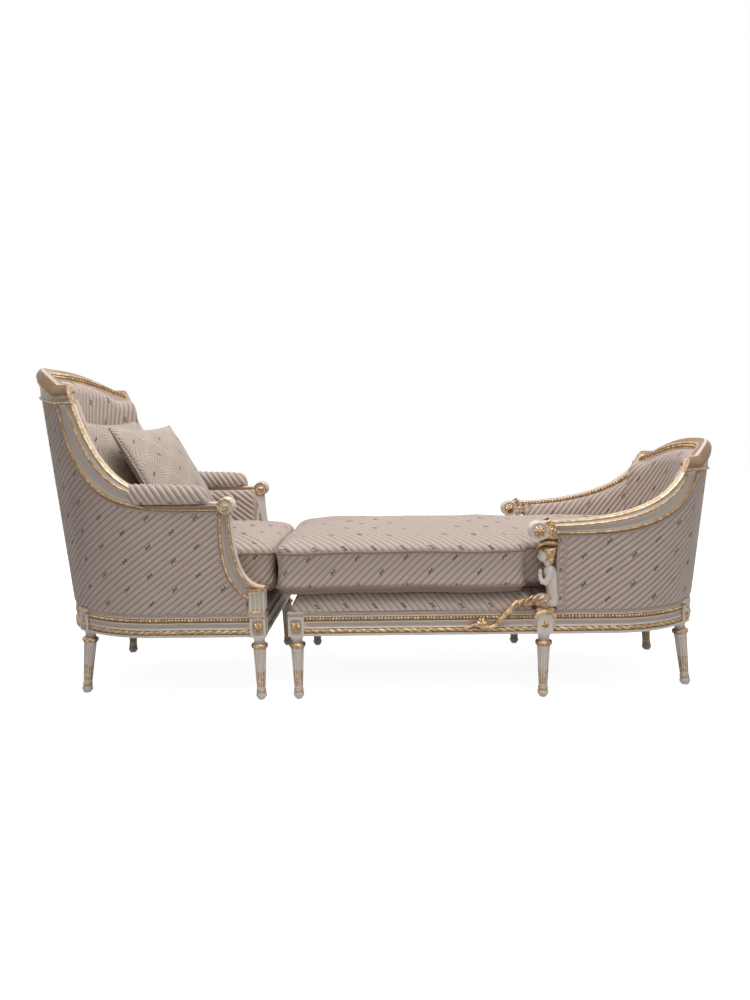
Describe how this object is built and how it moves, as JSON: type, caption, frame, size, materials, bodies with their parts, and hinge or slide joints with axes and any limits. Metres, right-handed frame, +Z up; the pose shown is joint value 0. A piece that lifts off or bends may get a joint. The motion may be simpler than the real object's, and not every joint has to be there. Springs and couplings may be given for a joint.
{
  "type": "two-piece chaise longue with armchair and foot seat",
  "caption": "Carved and gilded bergere armchair with a matching long foot seat, both upholstered in ribbed cloth, that stand end to end as a reclining seat.",
  "frame": {"origin": "on the floor under the middle of the pair as they stand end to end", "axes": "+X from the armchair towards the foot seat's curved back, +Z up, -Y towards the side that the picture shows"},
  "size_m": [2.2958, 0.698, 1.085],
  "materials": {
    "painted_wood": "ivory paint, satin, worn at the edges",
    "gilding": "gold leaf, burnished high spots over brown size",
    "ribbed_cloth": "satin cloth woven in padded diagonal ribs with small dark sprigs",
    "pillow_cloth": "cloth woven with fine lines that spread from small bars",
    "braid": "narrow woven braid",
    "bare_beech": "unfinished beech",
    "jute_webbing": "plain jute strap",
    "black_cambric": "thin black cotton",
    "steel_screws": "plain"
  },
  "bodies": {
    "foot_seat": {"foot_seat_arm_rail_far": "painted_wood", "foot_seat_arm_rail_near": "painted_wood", "foot_seat_arm_side_rail_far": "painted_wood", "foot_seat_arm_side_rail_near": "painted_wood", "foot_seat_back_posts": "bare_beech", "foot_seat_back_rail": "painted_wood", "foot_seat_block_screws": "steel_screws", "foot_seat_braid": "braid", "foot_seat_corner_blocks": "bare_beech", "foot_seat_crest_rail": "painted_wood", "foot_seat_cross_rail": "bare_beech", "foot_seat_deck": "ribbed_cloth", "foot_seat_dust_cover": "black_cambric", "foot_seat_end_leg_far": "painted_wood", "foot_seat_end_leg_near": "painted_wood", "foot_seat_end_rail": "painted_wood", "foot_seat_figure_far": "painted_wood", "foot_seat_figure_near": "painted_wood", "foot_seat_gilded_caps": "gilding", "foot_seat_inside_upholstery": "ribbed_cloth", "foot_seat_middle_leg_far": "painted_wood", "foot_seat_middle_leg_near": "painted_wood", "foot_seat_outside_cover": "ribbed_cloth", "foot_seat_rear_leg_far": "painted_wood", "foot_seat_rear_leg_near": "painted_wood", "foot_seat_rosettes": "gilding", "foot_seat_side_rail_far": "painted_wood", "foot_seat_side_rail_near": "painted_wood", "foot_seat_tails": "gilding", "foot_seat_webbing": "jute_webbing"},
    "armchair": {"armchair_arm_pad_far": "ribbed_cloth", "armchair_arm_pad_near": "ribbed_cloth", "armchair_arm_rail_far": "painted_wood", "armchair_arm_rail_near": "painted_wood", "armchair_arm_support_far": "painted_wood", "armchair_arm_support_near": "painted_wood", "armchair_back_posts": "bare_beech", "armchair_back_rail": "painted_wood", "armchair_block_screws": "steel_screws", "armchair_braid": "braid", "armchair_corner_blocks": "bare_beech", "armchair_crest_rail": "painted_wood", "armchair_deck": "ribbed_cloth", "armchair_dust_cover": "black_cambric", "armchair_end_rail": "painted_wood", "armchair_front_leg_far": "painted_wood", "armchair_front_leg_near": "painted_wood", "armchair_inside_upholstery": "ribbed_cloth", "armchair_outside_cover": "ribbed_cloth", "armchair_rear_leg_far": "painted_wood", "armchair_rear_leg_near": "painted_wood", "armchair_rosettes": "gilding", "armchair_side_rail_far": "painted_wood", "armchair_side_rail_near": "painted_wood", "armchair_webbing": "jute_webbing"},
    "armchair_cushion": {"armchair_seat_cushion": "ribbed_cloth"},
    "foot_cushion": {"foot_seat_cushion": "ribbed_cloth"},
    "rear_pillow": {"rear_pillow": "pillow_cloth"},
    "front_pillow": {"front_pillow": "pillow_cloth"}
  },
  "joints": [
    {"name": "armchair_slide", "type": "slide", "parent": "foot_seat", "child": "armchair", "axis": [-1, 0, 0], "range_m": [0, 0.5]},
    {"name": "armchair_cushion_lift", "type": "slide", "parent": "armchair", "child": "armchair_cushion", "axis": [0, 0, 1], "range_m": [0, 0.25]},
    {"name": "rear_pillow_lift", "type": "slide", "parent": "armchair_cushion", "child": "rear_pillow", "axis": [0, 0, 1], "range_m": [0, 0.25]},
    {"name": "front_pillow_lift", "type": "slide", "parent": "rear_pillow", "child": "front_pillow", "axis": [0, 0, 1], "range_m": [0, 0.25]},
    {"name": "foot_cushion_lift", "type": "slide", "parent": "foot_seat", "child": "foot_cushion", "axis": [0, 0, 1], "range_m": [0, 0.25]}
  ]
}
